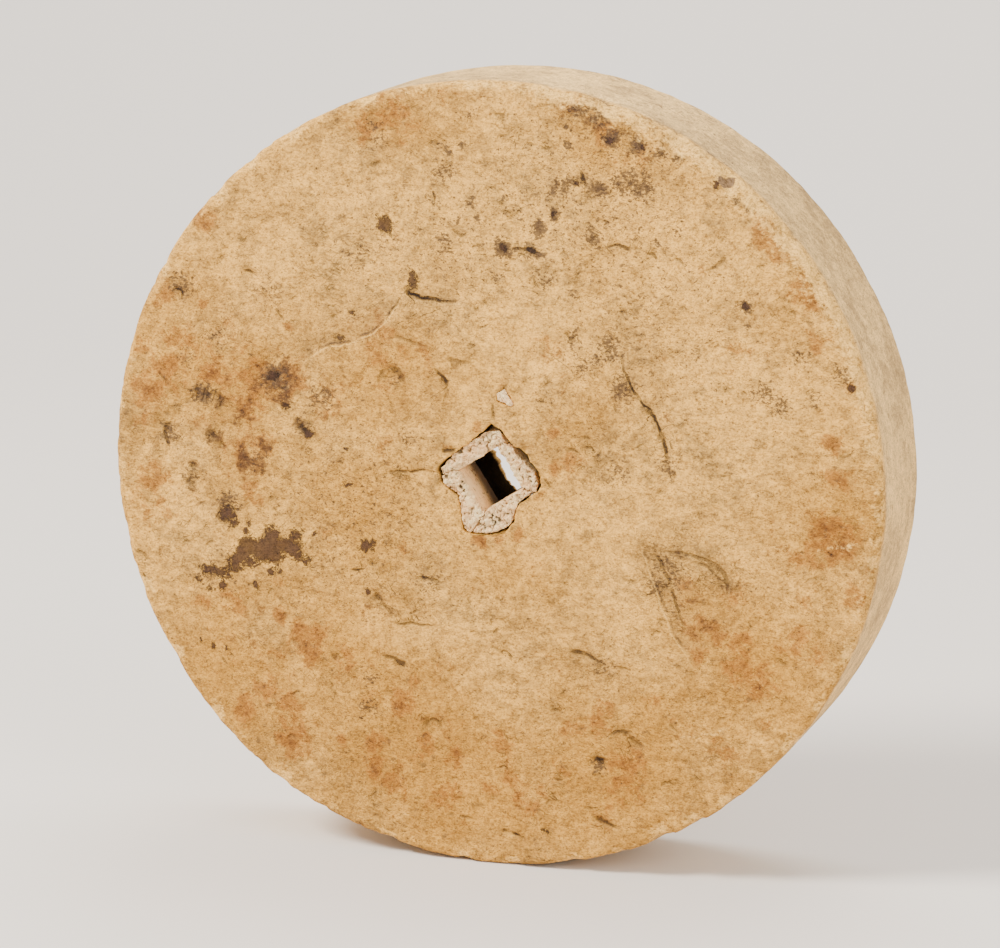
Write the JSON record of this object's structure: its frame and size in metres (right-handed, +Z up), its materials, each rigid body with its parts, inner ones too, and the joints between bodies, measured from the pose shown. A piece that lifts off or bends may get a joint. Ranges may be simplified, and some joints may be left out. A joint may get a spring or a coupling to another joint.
{
  "type": "grindstone wheel",
  "caption": "Round sandstone grindstone wheel with worn arrises and a square eye that is packed with mortar round the imprint of a square spindle.",
  "frame": {"origin": "the wheel's centre, on the spindle's axis and half way through the thickness", "axes": "+Y along the spindle's axis, away from the front face; +Z up when the wheel stands on its rim; +X to the right as the front face is seen"},
  "size_m": [0.42, 0.078, 0.42],
  "materials": {
    "sandstone": "matte",
    "lime_mortar": "matte"
  },
  "bodies": {
    "root": {"stone_wheel": "sandstone", "packing_upper_left": "lime_mortar", "packing_upper_right": "lime_mortar", "packing_lower_left": "lime_mortar", "packing_lower_right": "lime_mortar", "mortar_dab": "lime_mortar"}
  },
  "joints": []
}
